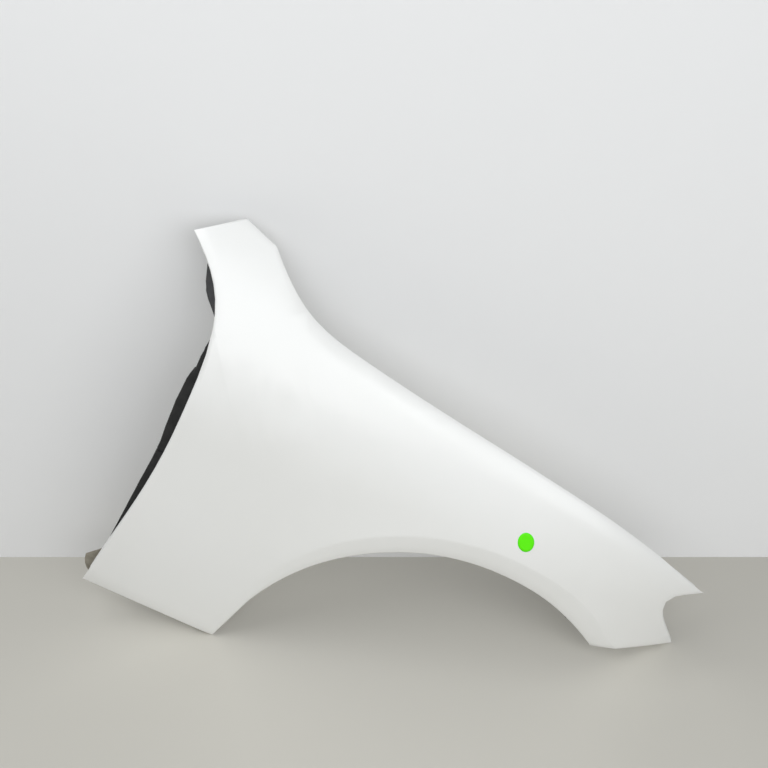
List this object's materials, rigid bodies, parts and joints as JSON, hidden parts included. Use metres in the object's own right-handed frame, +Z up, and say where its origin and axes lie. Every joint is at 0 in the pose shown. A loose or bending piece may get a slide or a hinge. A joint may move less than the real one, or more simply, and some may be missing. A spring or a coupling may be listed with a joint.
{
  "type": "car fender",
  "caption": "Front right car fender pressed from one steel sheet, with wheel arch, folded mounting flanges, raised rear horn, door-edge foam baffles and screw nuts.",
  "frame": {"origin": "middle of the third mounting pad of the rail under the hood line, on the pad's upper face, beside its slot", "axes": "+X towards the front of the car, +Y inboard, away from the painted side, +Z up as the fender is fitted"},
  "size_m": [1.102, 0.1866, 0.7333],
  "materials": {
    "white_paint": "gloss white body paint over primer on 0.8 mm pressed steel",
    "grey_foam": "matt dark grey open-cell foam",
    "black_foam": "matt black closed-cell sealing foam",
    "primed_steel": "dark olive-grey electro-coat primer on 1.5 mm steel",
    "black_nylon": "moulded black nylon",
    "green_vinyl": "plain bright green vinyl sticker on the skin, drawn by the scene only"
  },
  "bodies": {
    "root": {"fender_panel": "white_paint", "neck_foam": "grey_foam", "pillar_baffle_upper": "black_foam", "pillar_baffle_lower": "black_foam", "pillar_bracket": "primed_steel", "sill_bracket": "primed_steel", "headlamp_bracket": "primed_steel", "liner_nut_1": "black_nylon", "liner_nut_2": "black_nylon", "liner_nut_3": "black_nylon", "liner_nut_4": "black_nylon", "bumper_nut_1": "black_nylon", "bumper_nut_2": "black_nylon", "sill_clip": "black_nylon"}
  },
  "joints": []
}
